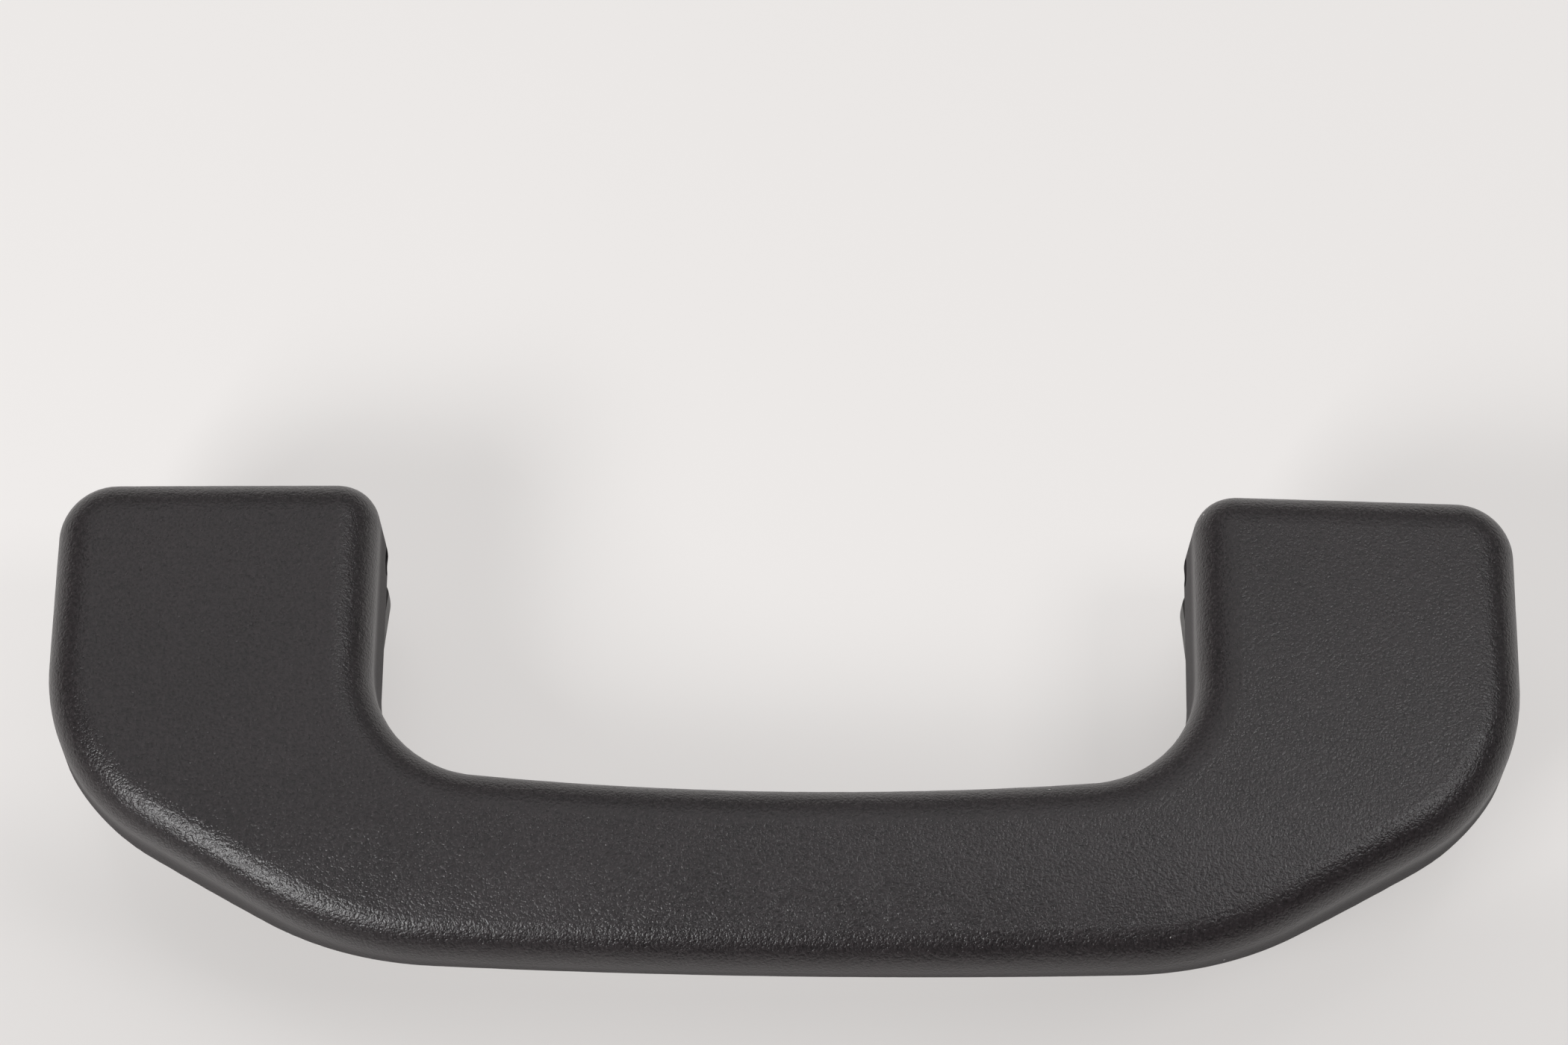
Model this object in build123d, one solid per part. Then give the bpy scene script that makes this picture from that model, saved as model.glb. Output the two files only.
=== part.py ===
from build123d import *
from math import asin, degrees, radians, sqrt, tan
import os

# Lengths are in millimetres and angles in degrees.
# X runs along the handle, +Y toward the leg ends, +Z away from the roof.
# The origin lies midway between the two screws on the mounting plane.

# Handle moulding, plan outline at the rear rim
handle_length = 230.0
leg_width = 51.2
leg_top_y = 22.6
leg_top_fall = 0.4
grip_upper_y = -27.6
grip_lower_y = -56.0
grip_upper_bow = 550.0
grip_lower_bow = 1300.0
shoulder_y = -27.5
shoulder_angle = 31.0
inner_corner_radius = 17.5
leg_inner_top_radius = 6.8
leg_outer_top_radius = 9.5
shoulder_radius = 32.0
lower_corner_radius = 58.0
draft_angle = 1.0

# Handle moulding, side profile
front_z = 31.3
front_crown_radius = 520.0
front_crown_y = -17.0
front_fall_y = -30.0
front_fall_radius = 85.0
front_fall_angle = 26.0
front_bow_radius = 3200.0
front_edge_radius = 6.6
rear_edge_radius = 2.0
leg_back_radius = 11.0
leg_back_overrun = 0.9
rise_y = -8.0
rise_radius = 26.0
rise_angle = 38.0
crest_radius = 9.0
crest_angle = 52.0
palm_radius = 30.0
palm_angle = 54.0
front_facing_angle = 25.0
rear_facing_angle = 60.0

# Handle moulding, hollow legs
wall = 2.8
top_wall = 2.4
front_wall = 5.0
pocket_low_y = -15.5
pocket_low_radius = 8.0
rib = 1.6
rib_offset = 16.0
rib_gap = 0.8

# Hinge
hinge_drop = 8.0
hinge_z = 10.6
rim_below_hinge = 3.6
pin_diameter = 4.0
pin_recess = 2.1
pin_fit = 0.02
pin_hole_diameter = 4.7
hub_radius = 4.0
hub_length = 3.9
side_play = 0.3
bush_wall = 0.8
bush_flange = 0.8
bush_fit = 0.03
bush_collar = 1.0
ear_radius = 4.2
ear_thickness = 4.5
ear_foot = 9.4
ear_toe = 2.7
hub_web = 3.0

# Bracket
floor = 2.4
pad_rim_gap = 1.5
pad_rim = 1.6
pad_above_hinge = 2.0
pad_low_y = -12.0
pad_rim_back = 3.0
pad_spread = 0.5
pad_taper = 3.0
pad_top_radius = 5.7
pad_low_radius = 4.0
boss_wall = 2.4
boss_height = 6.0
stiffener = 1.6
press_play = 0.02

# Screw, sleeve and cover
screw_radius = 3.0
screw_reach = 14.0
screw_waist_radius = 2.6
screw_tip = 1.0
screw_head_radius = 6.4
screw_head = 3.6
screw_socket_radius = 2.9
screw_socket_depth = 2.2
sleeve_wall = 1.5
sleeve_play = 0.3
cover_wall = 1.3
cover_gap = 0.5
cover_side = 22.0
cover_corner = 3.0
cover_edge = 0.8
cover_tab = 4.0
tab_play = 0.25
foot_inset = 0.5

# Return spring and damper
wire = 1.5
wire_sides = 6
spring_mean_radius = 3.3
spring_turns = 5
spring_pitch = 1.9
spring_arm = 9.0
arm_gap = 0.25
key_width = 6.0
key_play = 0.1
damper_radius = 4.3
damper_wall = 1.05
damper_length = 18.0
damper_end = 1.4
rotor_play = 0.05
rotor_end_gap = 0.3
seal_section = 0.7
seal_play = 0.03
seal_width = 0.9
shaft_gap = 0.35
pin_flat = 0.6
pin_chamfer = 0.4

# Buffer
buffer_radius = 2.6
buffer_stem_radius = 1.4
buffer_y = -6.8
buffer_gap = 0.3
buffer_rib_z = 9.0

# Derived positions
leg_outer_x = handle_length / 2
leg_inner_x = leg_outer_x - leg_width
leg_x = (leg_outer_x + leg_inner_x) / 2
leg_half = leg_width / 2
hinge_y = leg_top_y - hinge_drop
rim_z = hinge_z - rim_below_hinge
outline_z = rim_z - rim_below_hinge
ceiling_z = front_z - front_wall - leg_x**2 / (2 * front_bow_radius)
rib_z = hinge_z + ear_radius + rib_gap
pin_radius = pin_diameter / 2
pin_hole_radius = pin_radius + pin_fit
pin_start_x = leg_inner_x + pin_recess
pin_end_x = leg_outer_x - wall
bush_bore = pin_radius + bush_fit
bush_radius = bush_bore + bush_wall
hub_face = leg_half - wall - hub_length
ear_outer = hub_face - side_play - bush_flange
ear_inner = ear_outer - ear_thickness
spring_length = spring_turns * spring_pitch
arm_y = hinge_y - spring_mean_radius
spring_rib_y = arm_y - wire / 2 - arm_gap
key_x = leg_x + spring_length / 2
key_half = wire / 2 + arm_gap
pad_top_y = hinge_y + pad_above_hinge
pad_rim_z = rim_z - pad_rim_gap
sleeve_bore = screw_radius + sleeve_play
sleeve_radius = sleeve_bore + sleeve_wall
boss_radius = sleeve_radius + boss_wall
head_z = boss_height + screw_head
cover_y = boss_radius + cover_gap + cover_wall
cover_x = cover_side / 2
cover_z = head_z + cover_gap + cover_wall
damper_half = damper_length / 2
damper_bore = damper_radius - damper_wall
rotor_radius = damper_bore - rotor_play
shaft_hole = pin_radius + shaft_gap
buffer_x = leg_x + rib_offset
reach = handle_length


def box(x0, x1, y0, y1, z0, z1):
    size = Box(x1 - x0, y1 - y0, z1 - z0)
    return Pos((x0 + x1) / 2, (y0 + y1) / 2, (z0 + z1) / 2) * size


def along_hinge(x0, x1, radius):
    bar = Cylinder(radius, x1 - x0, align=(Align.CENTER, Align.CENTER, Align.MIN))
    return Pos(x0, hinge_y, hinge_z) * Rot(0, 90, 0) * bar


def upright(x, y, z0, z1, radius):
    post = Cylinder(radius, z1 - z0, align=(Align.CENTER, Align.CENTER, Align.MIN))
    return Pos(x, y, z0) * post


def mirrored(shape):
    return mirror(shape, about=Plane.YZ)


def bow_y(y, radius, x):
    return y + radius - sqrt(radius**2 - x**2)


def rounded_outline(corners):
    # Corners are (point, radius) pairs taken counter-clockwise.
    points = [point for point, radius in corners]
    face = make_face(Polyline(*points, close=True))
    for point, radius in corners:
        face = fillet(face.vertices().sort_by_distance((*point, 0))[0], radius)
    return face


def handle_outline():
    lower_run = shoulder_y - grip_lower_y
    lower_x = leg_outer_x - lower_run / tan(radians(shoulder_angle))
    right = [
        ((lower_x, bow_y(grip_lower_y, grip_lower_bow, lower_x)), lower_corner_radius),
        ((leg_outer_x, shoulder_y), shoulder_radius),
        ((leg_outer_x, leg_top_y - leg_top_fall), leg_outer_top_radius),
        ((leg_inner_x, leg_top_y), leg_inner_top_radius),
        ((leg_inner_x, bow_y(grip_upper_y, grip_upper_bow, leg_inner_x)), inner_corner_radius),
    ]
    left = [((-point[0], point[1]), radius) for point, radius in reversed(right)]
    points = [point for point, radius in right + left]
    edges = Polyline(*points[:5]).edges() + Polyline(*points[5:]).edges()
    edges.append(ThreePointArc(points[4], (0, grip_upper_y), points[5]))
    edges.append(ThreePointArc(points[9], (0, grip_lower_y), points[0]))
    face = make_face(edges)
    for point, radius in right + left:
        face = fillet(face.vertices().sort_by_distance((*point, 0))[0], radius)
    return face


def front_slab():
    top = leg_top_y + hinge_drop

    def crown_z(y):
        return front_z - front_crown_radius + sqrt(front_crown_radius**2 - (y - front_crown_y)**2)

    fall_start = (front_fall_y, crown_z(front_fall_y))
    crown = ThreePointArc((top, crown_z(top)), (front_crown_y, front_z), fall_start)
    fall = JernArc(crown @ 1, crown % 1, front_fall_radius, front_fall_angle)
    close = Polyline(fall @ 1, ((fall @ 1).X, -front_z), (top, -front_z), crown @ 0)
    face = Plane.YZ * make_face(crown + fall + close)
    axis = Axis((0, 0, front_z - front_bow_radius), (0, 1, 0))
    half = degrees(asin(reach / front_bow_radius))
    return revolve(face.rotate(axis, -half), axis, 2 * half)


def rear_cut():
    top = leg_top_y + hinge_drop
    flat = Line((top, rim_z), (rise_y, rim_z))
    rise = JernArc(flat @ 1, flat % 1, rise_radius, -rise_angle)
    crest = JernArc(rise @ 1, rise % 1, crest_radius, crest_angle)
    palm = JernArc(crest @ 1, crest % 1, palm_radius, -palm_angle)
    close = Polyline(palm @ 1, ((palm @ 1).X, -front_z), (top, -front_z), flat @ 0)
    face = Plane.YZ * make_face(flat + rise + crest + palm + close)
    return extrude(face, amount=reach, both=True)


def leg_back_cut():
    # The leg ends are round behind, so that they pass the bracket as they swing.
    top = leg_top_y + leg_back_overrun
    arc = JernArc((top, rim_z + leg_back_radius), (0, -1), leg_back_radius, -90)
    low = rim_z - leg_back_radius
    outside = top + leg_back_radius
    close = Polyline(arc @ 1, ((arc @ 1).X, low), (outside, low), (outside, (arc @ 0).Y), arc @ 0)
    return extrude(Plane.YZ * make_face(arc + close), amount=reach, both=True)


def facing(body, direction, angle):
    return [face for face in body.faces() if face.normal_at().get_angle(Vector(direction)) < angle]


def border(faces):
    # The border is every edge that belongs to only one of the faces.
    edges = [edge for face in faces for edge in face.edges()]
    return [edge for edge in edges if sum(edge.is_same(other) for other in edges) == 1]


def handle_body():
    prism = extrude(Plane.XY.offset(outline_z) * handle_outline(), amount=front_z, taper=draft_angle)
    body = (prism & front_slab()) - rear_cut()
    body = fillet(border(facing(body, (0, 0, 1), front_facing_angle)), front_edge_radius)
    return fillet(border(facing(body, (0, 0, -1), rear_facing_angle)), rear_edge_radius) - leg_back_cut()


def leg_pocket():
    low_x = leg_inner_x + wall
    high_x = leg_outer_x - wall
    top = leg_top_y - top_wall
    corners = [
        ((high_x, pocket_low_y), pocket_low_radius),
        ((high_x, top - leg_top_fall), leg_outer_top_radius - wall),
        ((low_x, top), leg_inner_top_radius - wall),
        ((low_x, pocket_low_y), pocket_low_radius),
    ]
    mouth = Plane.XY.offset(outline_z) * rounded_outline(corners)
    return extrude(mouth, amount=ceiling_z - outline_z, taper=draft_angle)


def leg_hub(x0, x1):
    web = box(x0, x1, hinge_y - hub_web / 2, hinge_y + hub_web / 2, hinge_z, front_z)
    return along_hinge(x0, x1, hub_radius) + web


def leg_ribs():
    across = box(leg_inner_x, leg_outer_x, spring_rib_y - rib, spring_rib_y, rib_z, front_z)
    for side in (-1, 1):
        x = leg_x + side * rib_offset
        across += box(x - rib / 2, x + rib / 2, pocket_low_y - wall, leg_top_y, rib_z, front_z)
        stop_y = buffer_y + buffer_radius
        across += box(x - rib / 2, x + rib / 2, pocket_low_y - wall, stop_y, buffer_rib_z, front_z)
    return across


def leg_cavity():
    hubs = leg_hub(leg_inner_x, leg_x - hub_face) + leg_hub(leg_x + hub_face, leg_outer_x)
    return leg_pocket() - hubs - leg_ribs()


def flatted(bar, flat_from, radius):
    # The flat locks the left pin to the grip and to the damper's rotor.
    cut_z = hinge_z + radius - pin_flat
    return bar - box(flat_from, leg_outer_x, hinge_y - wall, hinge_y + wall, cut_z, hinge_z + wall)


def make_grip():
    body = handle_body()
    cavity = leg_cavity()
    mouth = along_hinge(leg_inner_x - wall, pin_start_x, pin_hole_diameter / 2)
    bore = along_hinge(pin_start_x, pin_end_x, pin_hole_radius)
    keyed_bore = flatted(bore, leg_x, pin_hole_radius)
    body = body - cavity - mouth - bore
    return body - mirrored(cavity) - mirrored(mouth) - mirrored(keyed_bore)


def hinge_pin():
    pin = along_hinge(pin_start_x, pin_end_x - pin_chamfer, pin_radius)
    return chamfer(pin.edges().filter_by(GeomType.CIRCLE), pin_chamfer)


def pad_outline():
    top = leg_half + pad_spread
    low = top - pad_taper
    return rounded_outline([
        ((leg_x + low, pad_low_y), pad_low_radius),
        ((leg_x + top, pad_top_y), pad_top_radius),
        ((leg_x - top, pad_top_y), pad_top_radius),
        ((leg_x - low, pad_low_y), pad_low_radius),
    ])


def ear(x0, x1):
    foot = Polygon(
        (hinge_y - ear_radius, hinge_z),
        (hinge_y - ear_foot, 0),
        (hinge_y - ear_toe, 0),
        (hinge_y - ear_toe, hinge_z),
        align=None,
    )
    round_end = Pos(hinge_y, hinge_z) * Circle(ear_radius)
    hole = Pos(hinge_y, hinge_z) * Circle(bush_radius + press_play)
    return extrude(Plane.YZ.offset(x0) * (round_end + foot - hole), amount=x1 - x0)


def make_bracket():
    pad = pad_outline()
    inside = extrude(offset(pad, -pad_rim), amount=reach)
    rim = extrude(pad, amount=pad_rim_z) - inside
    rim -= box(0, reach, hinge_y - pad_rim_back, reach, 0, reach)
    body = extrude(pad, amount=floor) + rim
    for side in (-1, 1):
        near, far = sorted((leg_x + side * ear_inner, leg_x + side * ear_outer))
        body += ear(near, far)
        near, far = sorted((leg_x + side * (cover_x + foot_inset), leg_x + side * (leg_half - pad_taper)))
        body += box(near, far, -stiffener / 2, stiffener / 2, 0, pad_rim_z - foot_inset)
        slot_x = leg_x + side * (cover_x - cover_wall / 2)
        slot = (cover_wall / 2 + tab_play, cover_tab / 2 + tab_play)
        body -= box(slot_x - slot[0], slot_x + slot[0], -slot[1], slot[1], 0, floor)
    body += upright(leg_x, 0, 0, boss_height, boss_radius)
    body -= upright(leg_x, 0, 0, boss_height, sleeve_radius + press_play)
    body -= upright(buffer_x, buffer_y, 0, floor, buffer_stem_radius + press_play)
    key = key_width / 2
    return body - box(key_x - key, key_x + key, arm_y - key_half, arm_y + key_half, 0, floor)


def make_bush(side):
    near, far = sorted((leg_x + side * ear_inner, leg_x + side * ear_outer))
    collar_near, collar_far = sorted((leg_x + side * ear_outer, leg_x + side * (ear_outer + bush_flange)))
    collar = along_hinge(collar_near, collar_far, bush_radius + bush_collar)
    bore = along_hinge(leg_inner_x, leg_outer_x, bush_bore)
    return along_hinge(near, far, bush_radius) + collar - bore


def make_sleeve():
    return upright(leg_x, 0, 0, boss_height, sleeve_radius) - upright(leg_x, 0, 0, boss_height, sleeve_bore)


def make_screw():
    stud = upright(leg_x, 0, -screw_reach, 0, screw_radius)
    stud = chamfer(stud.edges().filter_by(GeomType.CIRCLE).sort_by(Axis.Z)[0], screw_tip)
    head = upright(leg_x, 0, boss_height, head_z, screw_head_radius)
    head = chamfer(head.edges().filter_by(GeomType.CIRCLE).sort_by(Axis.Z)[-1], screw_tip)
    socket = Pos(leg_x, 0, head_z - screw_socket_depth) * RegularPolygon(screw_socket_radius, 6)
    return stud + upright(leg_x, 0, 0, boss_height, screw_waist_radius) + head - extrude(socket, amount=reach)


def make_cover():
    plan = Pos(leg_x, 0, floor) * RectangleRounded(2 * cover_x, 2 * cover_y, cover_corner)
    shell = extrude(plan, amount=cover_z - floor)
    shell = chamfer(shell.faces().sort_by(Axis.Z)[-1].edges(), cover_edge)
    inner = (2 * (cover_x - cover_wall), 2 * (cover_y - cover_wall))
    hollow = Pos(leg_x, 0, floor) * RectangleRounded(*inner, cover_corner - cover_wall)
    shell -= extrude(hollow, amount=cover_z - cover_wall - floor)
    for side in (-1, 1):
        near, far = sorted((leg_x + side * (cover_x - cover_wall), leg_x + side * cover_x))
        shell += box(near, far, -cover_tab / 2, cover_tab / 2, foot_inset, floor)
    return shell


def make_spring():
    start = (leg_x - spring_length / 2, hinge_y, hinge_z)
    frame = Plane(start, x_dir=(0, -1, 0), z_dir=(1, 0, 0))
    coil = frame * Helix(spring_pitch, spring_length, spring_mean_radius)
    section = RegularPolygon(wire / 2, wire_sides)
    spring = sweep(Plane(coil @ 0, z_dir=coil % 0) * section, path=coil, is_frenet=True)
    moving = Pos(start[0], arm_y, hinge_z) * section
    fixed = Pos(key_x, arm_y, foot_inset) * section
    return spring + extrude(moving, amount=spring_arm) + extrude(fixed, amount=hinge_z - foot_inset)


def make_damper_barrel():
    near = leg_x - damper_half
    far = leg_x + damper_half
    key = key_half - key_play
    width = key_width / 2 - key_play
    shell = along_hinge(near, far, damper_radius)
    shell += box(key_x - width, key_x + width, arm_y - key, arm_y + key, foot_inset, hinge_z)
    return shell - along_hinge(near, far - damper_end, damper_bore) - along_hinge(near, far, shaft_hole)


def make_damper_cap():
    mouth = leg_x - damper_half
    plug = along_hinge(mouth, mouth + damper_end, damper_bore - press_play)
    flange = along_hinge(mouth - damper_end, mouth, damper_radius)
    return plug + flange - along_hinge(leg_inner_x, leg_x, shaft_hole)


def make_damper_rotor():
    near = leg_x - damper_half + damper_end + rotor_end_gap
    far = leg_x + damper_half - damper_end - rotor_end_gap
    drum = along_hinge(near, far, rotor_radius)
    groove = along_hinge(near + seal_width, near + 2 * seal_width, damper_radius)
    groove -= along_hinge(near, far, rotor_radius - seal_section)
    bore = flatted(along_hinge(near, far, pin_hole_radius), near, pin_hole_radius)
    return drum - groove - bore


def make_damper_seal():
    near = leg_x - damper_half + damper_end + rotor_end_gap + seal_width
    ring = along_hinge(near + press_play, near + seal_width - press_play, damper_bore - seal_play)
    return ring - along_hinge(near, near + seal_width, rotor_radius - seal_section + press_play)


def make_buffer():
    stem = upright(buffer_x, buffer_y, foot_inset, floor, buffer_stem_radius)
    return stem + upright(buffer_x, buffer_y, floor, buffer_rib_z - buffer_gap, buffer_radius)


nodes = {
    "grip": make_grip(),
    "right_hinge_pin": hinge_pin(),
    "left_hinge_pin": mirrored(flatted(hinge_pin(), leg_x - damper_half, pin_radius)),
    "return_spring": make_spring(),
    "damper_barrel": mirrored(make_damper_barrel()),
    "damper_cap": mirrored(make_damper_cap()),
    "damper_rotor": mirrored(make_damper_rotor()),
    "damper_seal": mirrored(make_damper_seal()),
}
pairs = {
    "bracket": make_bracket(),
    "bush_inner": make_bush(-1),
    "bush_outer": make_bush(1),
    "sleeve": make_sleeve(),
    "screw": make_screw(),
    "screw_cover": make_cover(),
    "buffer": make_buffer(),
}
for name, shape in pairs.items():
    nodes["right_" + name] = shape
    nodes["left_" + name] = mirrored(shape)

os.makedirs("parts", exist_ok=True)
for name, shape in nodes.items():
    export_step(shape, "parts/" + name + ".step")
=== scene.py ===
import math

import bmesh
import bpy
from mathutils import Matrix, Vector


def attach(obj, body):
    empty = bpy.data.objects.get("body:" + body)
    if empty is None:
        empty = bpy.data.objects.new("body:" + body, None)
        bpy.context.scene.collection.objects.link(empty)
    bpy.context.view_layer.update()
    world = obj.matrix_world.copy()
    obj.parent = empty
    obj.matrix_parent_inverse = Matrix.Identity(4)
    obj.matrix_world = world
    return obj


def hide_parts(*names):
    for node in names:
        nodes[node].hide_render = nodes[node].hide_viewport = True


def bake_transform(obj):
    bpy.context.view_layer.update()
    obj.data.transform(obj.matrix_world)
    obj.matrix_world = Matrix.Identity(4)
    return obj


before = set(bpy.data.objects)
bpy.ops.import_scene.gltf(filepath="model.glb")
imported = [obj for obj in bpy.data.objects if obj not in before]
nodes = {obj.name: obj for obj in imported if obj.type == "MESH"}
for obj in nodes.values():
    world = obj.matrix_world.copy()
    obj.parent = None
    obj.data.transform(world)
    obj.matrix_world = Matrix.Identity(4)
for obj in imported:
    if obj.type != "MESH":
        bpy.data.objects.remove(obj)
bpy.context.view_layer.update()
mm = 0.001
middle = 0.5  # what a noise texture gives on average
print("frame loaded,", len(nodes), "nodes")


class Wire:  # a shader socket that adds Math nodes when it is used in sums
    def __init__(self, finish, socket):
        self.finish, self.socket = finish, socket

    def maths(self, operation, left, right):
        return self.finish.node("ShaderNodeMath", {"operation": operation}, {0: left, 1: right})

    def __add__(self, other):
        return self.maths("ADD", self, other)

    def __radd__(self, other):
        return self.maths("ADD", other, self)

    def __sub__(self, other):
        return self.maths("SUBTRACT", self, other)

    def __rsub__(self, other):
        return self.maths("SUBTRACT", other, self)

    def __mul__(self, other):
        return self.maths("MULTIPLY", self, other)

    def __rmul__(self, other):
        return self.maths("MULTIPLY", other, self)

    def __lt__(self, other):
        return self.maths("LESS_THAN", self, other)

    def __gt__(self, other):  # a number < wire comes here
        return self.maths("GREATER_THAN", self, other)


class Finish:  # the shader nodes of a material, or of the room
    def __init__(self, owner, fixed, shader="ShaderNodeBsdfPrincipled", output="ShaderNodeOutputMaterial"):
        self.owner = owner
        owner.use_nodes = True
        self.tree = owner.node_tree
        self.tree.nodes.clear()
        self.shader = self.tree.nodes.new(shader)
        end = self.tree.nodes.new(output)
        self.tree.links.new(self.shader.outputs[0], end.inputs[0])
        for socket, value in fixed.items():
            self.feed(socket, value)

    def feed(self, socket, value, node=None):
        socket = (node or self.shader).inputs[socket]
        if isinstance(value, Wire):
            self.tree.links.new(value.socket, socket)
        else:
            socket.default_value = value

    def node(self, kind, settings, inputs, out=0):
        made = self.tree.nodes.new(kind)
        for name, value in settings.items():
            setattr(made, name, value)
        for socket, value in inputs.items():
            self.feed(socket, value, made)
        return Wire(self, made.outputs[out])

    def place(self, stretch=(1, 1, 1), spot="Object"):
        where = self.node("ShaderNodeTexCoord", {}, {}, spot)
        return self.node("ShaderNodeMapping", {}, {"Vector": where, "Scale": stretch})

    def noise(self, size, detail, stretch=(1, 1, 1), roughness=0.55):
        return self.node("ShaderNodeTexNoise", {}, {
            "Vector": self.place(stretch), "Scale": 1 / size, "Detail": detail, "Roughness": roughness})

    def ramp(self, axis, low, high, atLow, atHigh, spot="Object"):
        along = self.node("ShaderNodeSeparateXYZ", {}, {"Vector": self.place(spot=spot)}, axis)
        return self.node("ShaderNodeMapRange", {"interpolation_type": "SMOOTHSTEP"}, {
            "Value": along, "From Min": low, "From Max": high, "To Min": atLow, "To Max": atHigh})

    def mix(self, factor, low, high):  # sockets 6 and 7 take the node's two colours
        return self.node("ShaderNodeMix", {"data_type": "RGBA"}, {0: factor, 6: low, 7: high}, 2)

    def bump(self, height, depth):
        self.feed("Normal", self.node("ShaderNodeBump", {}, {
            "Height": height, "Distance": depth, "Strength": 1.0}))


# grained plastic of the handle and of its screw covers, duller on the walls than on the front
grainLook = {
    "dark": (0.0060, 0.0042, 0.0048, 1),
    "light": (0.0350, 0.0270, 0.0296, 1),
    "dustColour": (0.42, 0.41, 0.40, 1),
    "ior": 1.62,
    "pebble": 0.50 * mm,
    "pebbleShare": 0.7,
    "fine": 0.30 * mm,
    "fineShare": 0.3,
    "drift": 26 * mm,
    "depth": 0.20 * mm,
    "grainTone": 2.4,
    "driftTone": 0.5,
    "driftLift": 0.35,
    "roughness": 0.33,
    "grainRoughness": 0.16,
    "driftRoughness": 0.06,
    "sideRoughness": 0.40,
    "sideTop": 26 * mm,
    "sideFoot": 17 * mm,
    "dustGap": 10 * mm,
    "dustRadius": 0.19 * mm,
}


def grainedPlastic(name, look):
    finish = Finish(bpy.data.materials.new(name), {"IOR": look["ior"]})
    pebble = finish.noise(look["pebble"], 2.0)
    fine = finish.noise(look["fine"], 1.0)
    drift = finish.noise(look["drift"], 3.0)
    grain = pebble * look["pebbleShare"] + fine * look["fineShare"]
    specks = finish.node("ShaderNodeTexVoronoi", {}, {
        "Vector": finish.place(), "Scale": 1 / look["dustGap"]}, "Distance")
    dust = specks < look["dustRadius"] / look["dustGap"]
    shade = (grain - middle) * look["grainTone"] + (drift + look["driftLift"]) * look["driftTone"]
    tone = finish.mix(shade, look["dark"], look["light"])
    finish.feed("Base Color", finish.mix(dust, tone, look["dustColour"]))
    duller = finish.ramp("Z", look["sideFoot"], look["sideTop"], look["sideRoughness"], 0.0)
    uneven = (grain - middle) * look["grainRoughness"]
    worn = (drift - middle) * look["driftRoughness"]
    finish.feed("Roughness", look["roughness"] + duller + uneven + worn)
    finish.bump(grain, look["depth"])
    return finish.owner


# plain moulded plastics and rubbers: tone, size of the texture, its depth and the roughness
mouldedLooks = {
    "bracket_plastic": {"dark": (0.030, 0.028, 0.026, 1), "light": (0.052, 0.049, 0.046, 1),
                        "size": 1.1 * mm, "depth": 0.03 * mm, "roughness": 0.50, "stretch": (1, 1, 0.5)},
    "bush_plastic": {"dark": (0.62, 0.60, 0.54, 1), "light": (0.72, 0.70, 0.64, 1),
                     "size": 0.8 * mm, "depth": 0.01 * mm, "roughness": 0.38, "stretch": (1, 1, 1)},
    "damper_plastic": {"dark": (0.055, 0.056, 0.060, 1), "light": (0.080, 0.081, 0.086, 1),
                       "size": 0.9 * mm, "depth": 0.015 * mm, "roughness": 0.42, "stretch": (0.3, 1, 1)},
    "rotor_plastic": {"dark": (0.66, 0.65, 0.60, 1), "light": (0.76, 0.75, 0.70, 1),
                      "size": 0.8 * mm, "depth": 0.01 * mm, "roughness": 0.40, "stretch": (0.3, 1, 1)},
    "seal_rubber": {"dark": (0.012, 0.012, 0.013, 1), "light": (0.022, 0.022, 0.023, 1),
                    "size": 0.5 * mm, "depth": 0.02 * mm, "roughness": 0.62, "stretch": (1, 1, 1)},
    "buffer_rubber": {"dark": (0.016, 0.016, 0.017, 1), "light": (0.030, 0.030, 0.031, 1),
                      "size": 0.7 * mm, "depth": 0.03 * mm, "roughness": 0.68, "stretch": (1, 1, 1)},
}
mouldedShared = {"ior": 1.5, "cloudSize": 14, "share": 0.5, "textureRoughness": 0.2}


def mouldedPlastic(name, look, shared):
    finish = Finish(bpy.data.materials.new(name), {"IOR": shared["ior"]})
    texture = finish.noise(look["size"], 3.0, look["stretch"])
    cloud = finish.noise(look["size"] * shared["cloudSize"], 2.0)
    shade = texture * shared["share"] + cloud * shared["share"]
    finish.feed("Base Color", finish.mix(shade, look["dark"], look["light"]))
    finish.feed("Roughness", look["roughness"] + (texture - middle) * shared["textureRoughness"])
    finish.bump(texture, look["depth"])
    return finish.owner


# bare and plated steels: drawn lines run along the stretch's small number
steelLooks = {
    "pin_steel": {"dark": (0.46, 0.46, 0.47, 1), "light": (0.60, 0.60, 0.61, 1),
                  "size": 0.5 * mm, "depth": 0.006 * mm, "roughness": 0.26, "stretch": (0.06, 1, 1)},
    "spring_steel": {"dark": (0.20, 0.195, 0.19, 1), "light": (0.32, 0.315, 0.31, 1),
                     "size": 0.6 * mm, "depth": 0.008 * mm, "roughness": 0.34, "stretch": (1, 0.6, 0.6)},
    "zinc_steel": {"dark": (0.50, 0.52, 0.54, 1), "light": (0.66, 0.68, 0.69, 1),
                   "size": 0.9 * mm, "depth": 0.008 * mm, "roughness": 0.32, "stretch": (1, 1, 1)},
}
steelShared = {"stainSize": 8, "share": 0.5, "lineRoughness": 0.18, "stainRoughness": 0.14}


def steel(name, look, shared):
    finish = Finish(bpy.data.materials.new(name), {"Metallic": 1.0})
    lines = finish.noise(look["size"], 3.0, look["stretch"])
    stain = finish.noise(look["size"] * shared["stainSize"], 2.0)
    shade = lines * shared["share"] + stain * shared["share"]
    finish.feed("Base Color", finish.mix(shade, look["dark"], look["light"]))
    uneven = (lines - middle) * shared["lineRoughness"]
    stained = (stain - middle) * shared["stainRoughness"]
    finish.feed("Roughness", look["roughness"] + uneven + stained)
    finish.bump(lines, look["depth"])
    return finish.owner


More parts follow.
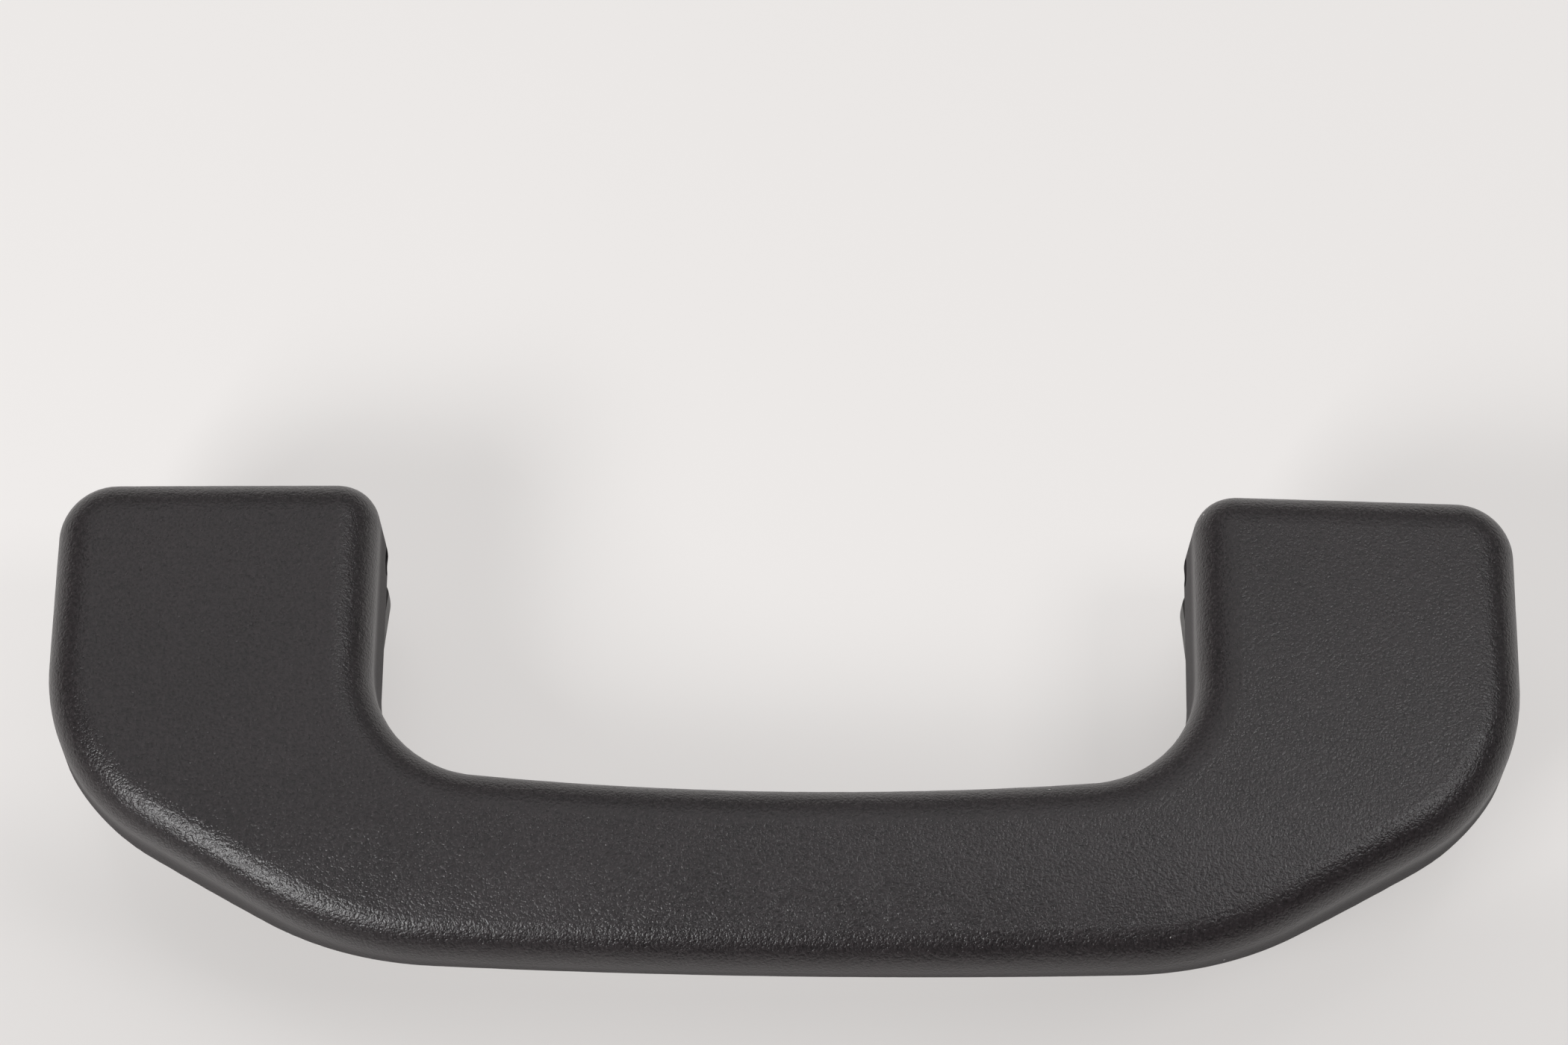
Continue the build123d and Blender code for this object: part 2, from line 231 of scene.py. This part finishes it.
finishes = {
    "grip_plastic": grainedPlastic("grip_plastic", grainLook),
    "cover_plastic": grainedPlastic("cover_plastic", dict(grainLook, depth=0.03 * mm)),
}
for name, look in mouldedLooks.items():
    finishes[name] = mouldedPlastic(name, look, mouldedShared)
for name, look in steelLooks.items():
    finishes[name] = steel(name, look, steelShared)
print("finishes made:", ", ".join(finishes))

nodeFinish = {
    "grip": "grip_plastic", "hinge_pin": "pin_steel", "return_spring": "spring_steel",
    "damper_barrel": "damper_plastic", "damper_cap": "damper_plastic", "damper_rotor": "rotor_plastic",
    "damper_seal": "seal_rubber", "bracket": "bracket_plastic", "bush_inner": "bush_plastic",
    "bush_outer": "bush_plastic", "sleeve": "zinc_steel", "screw": "zinc_steel",
    "screw_cover": "cover_plastic", "buffer": "buffer_rubber",
}


def dress(piece, name):
    piece.data.materials.clear()
    piece.data.materials.append(finishes[name])


for name, node in nodes.items():
    dress(node, nodeFinish[name.removeprefix("right_").removeprefix("left_")])
print("nodes dressed")


def addPiece(name, mesh):
    data = bpy.data.meshes.new(name)
    mesh.to_mesh(data)
    mesh.free()
    piece = bpy.data.objects.new(name, data)
    bpy.context.scene.collection.objects.link(piece)
    return piece


def windHelix(mesh, section, radius, centre, axis, turn, look):  # the section is all that the mesh holds
    ring = bmesh.ops.create_circle(
        mesh, cap_ends=False, segments=look["sides"], radius=radius, matrix=section)["verts"]
    bmesh.ops.spin(
        mesh, geom=ring + mesh.edges[:], cent=centre, axis=axis,
        dvec=Vector(axis) * look["pitch"] / look["stepsPerTurn"], angle=turn * look["turns"],
        steps=look["turns"] * look["stepsPerTurn"], use_merge=False, use_duplicate=False)


# return spring in round wire, which winds up as the handle swings
springShape = {
    "wire": 1.5 * mm,
    "meanRadius": 3.3 * mm,
    "turns": 5,
    "pitch": 1.9 * mm,
    "start": (84.65 * mm, 14.6 * mm, 10.6 * mm),
    "movingArm": 9.0 * mm,
    "fixedFoot": 0.5 * mm,
    "sides": 14,
    "stepsPerTurn": 32,
    "mergeGap": 0.002 * mm,
}


def wireArm(mesh, x, y, low, high, look):
    bmesh.ops.create_cone(
        mesh, cap_ends=True, segments=look["sides"], radius1=look["wire"] / 2, radius2=look["wire"] / 2,
        depth=high - low, matrix=Matrix.Translation((x, y, (low + high) / 2)))


def returnSpring(look):
    start = Vector(look["start"])
    half = look["wire"] / 2
    armY = start.y - look["meanRadius"]
    endX = start.x + look["turns"] * look["pitch"]
    mesh = bmesh.new()
    section = Matrix.Translation((start.x, armY, start.z))
    windHelix(mesh, section, half, start, (1, 0, 0), -2 * math.pi, look)
    wireArm(mesh, start.x, armY, start.z, start.z + look["movingArm"], look)
    wireArm(mesh, endX, armY, look["fixedFoot"], start.z, look)
    bmesh.ops.remove_doubles(mesh, verts=mesh.verts, dist=look["mergeGap"])
    bmesh.ops.recalc_face_normals(mesh, faces=mesh.faces)
    spring = addPiece("return_spring_wire", mesh)
    spring.data.shade_smooth()
    dress(spring, "spring_steel")
    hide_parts("return_spring")
    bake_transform(spring)


returnSpring(springShape)
print("spring wound")


# fine threads on the studs of the screws
threadShape = {
    "studX": 89.4 * mm,
    "radius": 2.9 * mm,
    "ridge": 0.3 * mm,
    "sides": 3,
    "low": -12.7 * mm,
    "pitch": 1.0 * mm,
    "turns": 12,
    "stepsPerTurn": 32,
}


def screwThread(name, x, look):
    mesh = bmesh.new()
    upright = Matrix(((0, 1, 0), (0, 0, 1), (1, 0, 0))).to_4x4()  # turns the section to face along the helix
    section = Matrix.Translation((x + look["radius"], 0, look["low"])) @ upright
    windHelix(mesh, section, look["ridge"], (x, 0, 0), (0, 0, 1), 2 * math.pi, look)
    ends = [edge for edge in mesh.edges if edge.is_boundary]
    bmesh.ops.holes_fill(mesh, edges=ends, sides=look["sides"])
    bmesh.ops.recalc_face_normals(mesh, faces=mesh.faces)
    thread = addPiece(name, mesh)
    dress(thread, "zinc_steel")
    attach(thread, "roof_mounts")


screwThread("right_screw_thread", threadShape["studX"], threadShape)
screwThread("left_screw_thread", -threadShape["studX"], threadShape)
print("threads cut")


# pale glossy sheet under the studs that glows, with painted shade darkening its colour and its glow in front
# of the handle
floorLook = {
    "size": 5.0,
    "height": -14.1 * mm,
    "dark": (0.465, 0.452, 0.443, 1),
    "light": (0.485, 0.471, 0.462, 1),
    # painted shade: the darker colour given to the sheet and its glow in front of the handle
    "frontShade": (0.417, 0.405, 0.397, 1),
    "frontStart": -8 * mm,
    "frontEnd": -40 * mm,
    "cloud": 90 * mm,
    "ior": 1.45,
    "roughness": 0.22,
    "cloudRoughness": 0.08,
    "glow": 0.97,
}


def paleFloor(look):
    mesh = bmesh.new()
    bmesh.ops.create_grid(
        mesh, x_segments=1, y_segments=1, size=look["size"] / 2,
        matrix=Matrix.Translation((0, 0, look["height"])))
    floor = addPiece("floor", mesh)
    finish = Finish(bpy.data.materials.new("floor_sheet"), {
        "IOR": look["ior"], "Emission Strength": look["glow"]})
    cloud = finish.noise(look["cloud"], 3.0)
    # painted shade: the sheet's colour and glow darken towards the camera's side, in front of the handle
    behind = finish.ramp("Y", look["frontEnd"], look["frontStart"], 0.0, 1.0)
    tone = finish.mix(cloud, look["dark"], look["light"])
    finish.feed("Base Color", finish.mix(behind, look["frontShade"], tone))
    finish.feed("Emission Color", finish.mix(behind, look["frontShade"], look["light"]))
    finish.feed("Roughness", look["roughness"] + (cloud - middle) * look["cloudRoughness"])
    floor.data.materials.append(finish.owner)


paleFloor(floorLook)

# soft lamps: place, point aimed at, size and power
lamps = {
    "leftSoftbox": {"place": (-0.57, -0.56, 0.74), "aim": (-0.06, -0.03, 0.02),
                    "size": (0.40, 0.40), "power": 6.6},
    "rightSoftbox": {"place": (0.63, -0.04, 1.15), "aim": (0.08, -0.03, 0.02),
                     "size": (0.40, 0.40), "power": 2.8},
    "overheadSoftbox": {"place": (0.0, 0.75, 1.45), "aim": (0.0, 0.0, 0.0),
                        "size": (2.4, 1.5), "power": 6.0},
}
for name, lamp in lamps.items():
    light = bpy.data.lights.new(name, "AREA")
    light.shape = "RECTANGLE"
    light.size, light.size_y = lamp["size"]
    light.energy = lamp["power"]
    holder = bpy.data.objects.new(name, light)
    holder.location = lamp["place"]
    away = Vector(lamp["aim"]) - Vector(lamp["place"])
    holder.rotation_euler = away.to_track_quat("-Z", "Y").to_euler()
    bpy.context.scene.collection.objects.link(holder)

# pale room, brighter behind the handle than on the camera's side
roomLook = {
    "colour": (0.82, 0.81, 0.81, 1),
    "near": -0.55,
    "far": 0.6,
    "nearStrength": 0.10,
    "farStrength": 0.25,
}


def paleRoom(look):
    room = Finish(bpy.data.worlds.new("studio"), {"Color": look["colour"]},
                  "ShaderNodeBackground", "ShaderNodeOutputWorld")
    room.feed("Strength", room.ramp(
        "Y", look["near"], look["far"], look["nearStrength"], look["farStrength"], "Generated"))
    bpy.context.scene.world = room.owner


paleRoom(roomLook)
bpy.context.scene.view_settings.view_transform = "Standard"
print("floor and lamps placed")

# camera of the photograph: seen from above and in front, lens at 110 mm, turned up past the handle
cameraLook = {
    "target": (-0.41 * mm, -16 * mm, 20 * mm),
    "elevation": 71.26,
    "distance": 748 * mm,
    "lens": 109.96,
    "sensor": 36.0,
    "lookUp": 2.47,
    "roll": 0.78,
    "clip": (0.01, 20),
}


def photoCamera(look):
    elevation, tilt, roll = (math.radians(look[key]) for key in ("elevation", "lookUp", "roll"))
    back = Vector((0, -math.cos(elevation), math.sin(elevation)))
    place = Vector(look["target"]) + back * look["distance"]
    right = Vector((1, 0, 0))
    up = back.cross(right)
    back, up = back * math.cos(tilt) - up * math.sin(tilt), up * math.cos(tilt) + back * math.sin(tilt)
    right, up = right * math.cos(roll) + up * math.sin(roll), up * math.cos(roll) - right * math.sin(roll)
    data = bpy.data.cameras.new("camera")
    data.lens, data.sensor_width = look["lens"], look["sensor"]
    data.clip_start, data.clip_end = look["clip"]
    camera = bpy.data.objects.new("camera", data)
    camera.matrix_world = Matrix.Translation(place) @ Matrix((right, up, back)).transposed().to_4x4()
    bpy.context.scene.collection.objects.link(camera)
    bpy.context.scene.camera = camera


photoCamera(cameraLook)
print("camera set")
